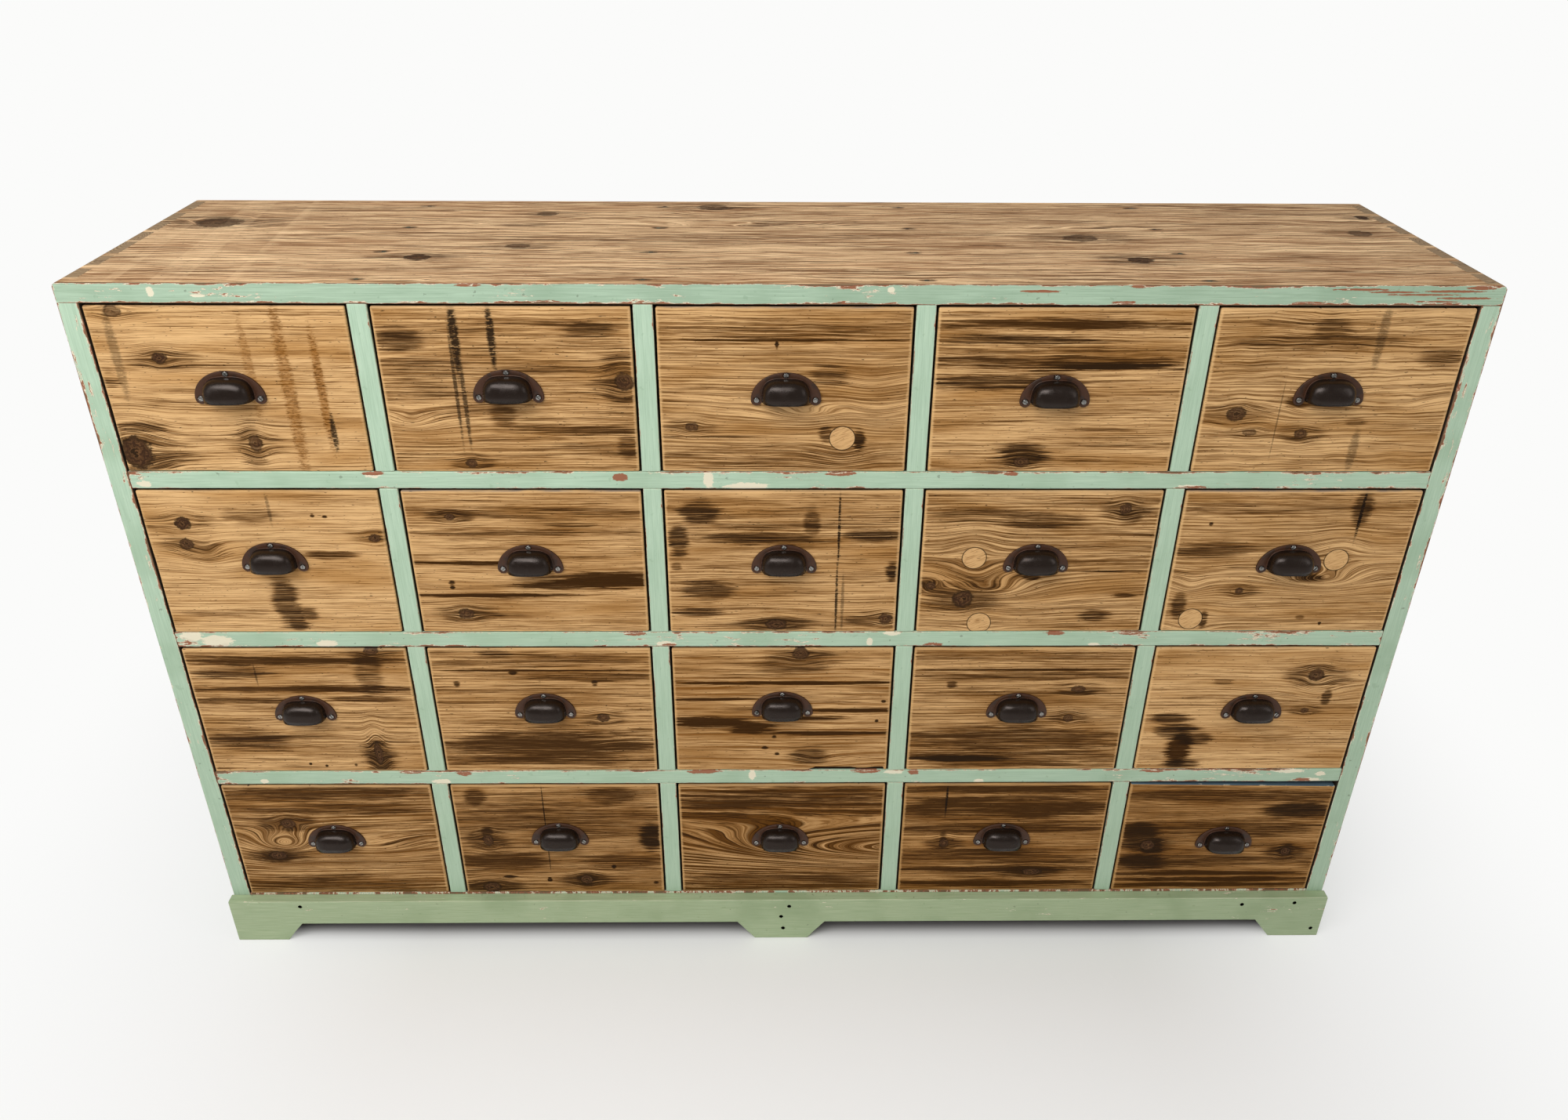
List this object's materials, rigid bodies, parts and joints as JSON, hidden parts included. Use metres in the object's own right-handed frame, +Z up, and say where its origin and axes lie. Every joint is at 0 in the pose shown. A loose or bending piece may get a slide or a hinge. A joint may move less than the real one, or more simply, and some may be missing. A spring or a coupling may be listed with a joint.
{
  "type": "seed storage cabinet",
  "caption": "Floor-standing seed cabinet: dovetailed, worn painted pine case on a low arched plinth, with a grid of small drawers that slide out on cast iron cup pulls.",
  "frame": {"origin": "on the ground, in the middle of the outer box, which runs from the lips of the pulls to the back of the case", "axes": "+Z up; someone facing the drawers looks along +Y with +X to the right, so drawers slide out along -Y"},
  "size_m": [1.646, 0.411, 1.013],
  "materials": {
    "case_paint": "pine in worn mint green paint, chipped to cream undercoat and bare wood",
    "plinth_paint": "pine in brushed sage green paint",
    "top_pine": "sanded and waxed old pine",
    "drawer_pine": "reclaimed pine, sanded and waxed, with stains and knots",
    "raw_pine": "unfinished pine",
    "cast_iron": "waxed dark cast iron with a rusty plate",
    "steel": "plain steel screws and nails"
  },
  "bodies": {
    "case": {"top_board": "top_pine", "bottom_board": "case_paint", "side_left": "case_paint", "side_right": "case_paint", "shelf_upper": "case_paint", "shelf_middle": "case_paint", "shelf_lower": "case_paint", "partitions_row_1": "case_paint", "partitions_row_2": "case_paint", "partitions_row_3": "case_paint", "partitions_row_4": "case_paint", "back_planks": "raw_pine", "plinth_front": "plinth_paint", "plinth_left": "plinth_paint", "plinth_right": "plinth_paint", "plinth_rear": "raw_pine", "plinth_blocks": "raw_pine", "top_nails": "steel", "plinth_nails": "steel", "back_nails": "steel"},
    "drawer_r1_c1_body": {"drawer_r1_c1": "drawer_pine", "pull_r1_c1": "cast_iron"},
    "drawer_r1_c2_body": {"drawer_r1_c2": "drawer_pine", "pull_r1_c2": "cast_iron"},
    "drawer_r1_c3_body": {"drawer_r1_c3": "drawer_pine", "pull_r1_c3": "cast_iron"},
    "drawer_r1_c4_body": {"drawer_r1_c4": "drawer_pine", "pull_r1_c4": "cast_iron"},
    "drawer_r1_c5_body": {"drawer_r1_c5": "drawer_pine", "pull_r1_c5": "cast_iron"},
    "drawer_r2_c1_body": {"drawer_r2_c1": "drawer_pine", "pull_r2_c1": "cast_iron"},
    "drawer_r2_c2_body": {"drawer_r2_c2": "drawer_pine", "pull_r2_c2": "cast_iron"},
    "drawer_r2_c3_body": {"drawer_r2_c3": "drawer_pine", "pull_r2_c3": "cast_iron"},
    "drawer_r2_c4_body": {"drawer_r2_c4": "drawer_pine", "pull_r2_c4": "cast_iron"},
    "drawer_r2_c5_body": {"drawer_r2_c5": "drawer_pine", "pull_r2_c5": "cast_iron"},
    "drawer_r3_c1_body": {"drawer_r3_c1": "drawer_pine", "pull_r3_c1": "cast_iron"},
    "drawer_r3_c2_body": {"drawer_r3_c2": "drawer_pine", "pull_r3_c2": "cast_iron"},
    "drawer_r3_c3_body": {"drawer_r3_c3": "drawer_pine", "pull_r3_c3": "cast_iron"},
    "drawer_r3_c4_body": {"drawer_r3_c4": "drawer_pine", "pull_r3_c4": "cast_iron"},
    "drawer_r3_c5_body": {"drawer_r3_c5": "drawer_pine", "pull_r3_c5": "cast_iron"},
    "drawer_r4_c1_body": {"drawer_r4_c1": "drawer_pine", "pull_r4_c1": "cast_iron"},
    "drawer_r4_c2_body": {"drawer_r4_c2": "drawer_pine", "pull_r4_c2": "cast_iron"},
    "drawer_r4_c3_body": {"drawer_r4_c3": "drawer_pine", "pull_r4_c3": "cast_iron"},
    "drawer_r4_c4_body": {"drawer_r4_c4": "drawer_pine", "pull_r4_c4": "cast_iron"},
    "drawer_r4_c5_body": {"drawer_r4_c5": "drawer_pine", "pull_r4_c5": "cast_iron"}
  },
  "joints": [
    {"name": "drawer_r1_c1_slide", "type": "slide", "parent": "case", "child": "drawer_r1_c1_body", "axis": [0, -1, 0], "range_m": [0, 0.3]},
    {"name": "drawer_r1_c2_slide", "type": "slide", "parent": "case", "child": "drawer_r1_c2_body", "axis": [0, -1, 0], "range_m": [0, 0.3]},
    {"name": "drawer_r1_c3_slide", "type": "slide", "parent": "case", "child": "drawer_r1_c3_body", "axis": [0, -1, 0], "range_m": [0, 0.3]},
    {"name": "drawer_r1_c4_slide", "type": "slide", "parent": "case", "child": "drawer_r1_c4_body", "axis": [0, -1, 0], "range_m": [0, 0.3]},
    {"name": "drawer_r1_c5_slide", "type": "slide", "parent": "case", "child": "drawer_r1_c5_body", "axis": [0, -1, 0], "range_m": [0, 0.3]},
    {"name": "drawer_r2_c1_slide", "type": "slide", "parent": "case", "child": "drawer_r2_c1_body", "axis": [0, -1, 0], "range_m": [0, 0.3]},
    {"name": "drawer_r2_c2_slide", "type": "slide", "parent": "case", "child": "drawer_r2_c2_body", "axis": [0, -1, 0], "range_m": [0, 0.3]},
    {"name": "drawer_r2_c3_slide", "type": "slide", "parent": "case", "child": "drawer_r2_c3_body", "axis": [0, -1, 0], "range_m": [0, 0.3]},
    {"name": "drawer_r2_c4_slide", "type": "slide", "parent": "case", "child": "drawer_r2_c4_body", "axis": [0, -1, 0], "range_m": [0, 0.3]},
    {"name": "drawer_r2_c5_slide", "type": "slide", "parent": "case", "child": "drawer_r2_c5_body", "axis": [0, -1, 0], "range_m": [0, 0.3]},
    {"name": "drawer_r3_c1_slide", "type": "slide", "parent": "case", "child": "drawer_r3_c1_body", "axis": [0, -1, 0], "range_m": [0, 0.3]},
    {"name": "drawer_r3_c2_slide", "type": "slide", "parent": "case", "child": "drawer_r3_c2_body", "axis": [0, -1, 0], "range_m": [0, 0.3]},
    {"name": "drawer_r3_c3_slide", "type": "slide", "parent": "case", "child": "drawer_r3_c3_body", "axis": [0, -1, 0], "range_m": [0, 0.3]},
    {"name": "drawer_r3_c4_slide", "type": "slide", "parent": "case", "child": "drawer_r3_c4_body", "axis": [0, -1, 0], "range_m": [0, 0.3]},
    {"name": "drawer_r3_c5_slide", "type": "slide", "parent": "case", "child": "drawer_r3_c5_body", "axis": [0, -1, 0], "range_m": [0, 0.3]},
    {"name": "drawer_r4_c1_slide", "type": "slide", "parent": "case", "child": "drawer_r4_c1_body", "axis": [0, -1, 0], "range_m": [0, 0.3]},
    {"name": "drawer_r4_c2_slide", "type": "slide", "parent": "case", "child": "drawer_r4_c2_body", "axis": [0, -1, 0], "range_m": [0, 0.3]},
    {"name": "drawer_r4_c3_slide", "type": "slide", "parent": "case", "child": "drawer_r4_c3_body", "axis": [0, -1, 0], "range_m": [0, 0.3]},
    {"name": "drawer_r4_c4_slide", "type": "slide", "parent": "case", "child": "drawer_r4_c4_body", "axis": [0, -1, 0], "range_m": [0, 0.3]},
    {"name": "drawer_r4_c5_slide", "type": "slide", "parent": "case", "child": "drawer_r4_c5_body", "axis": [0, -1, 0], "range_m": [0, 0.3]}
  ]
}
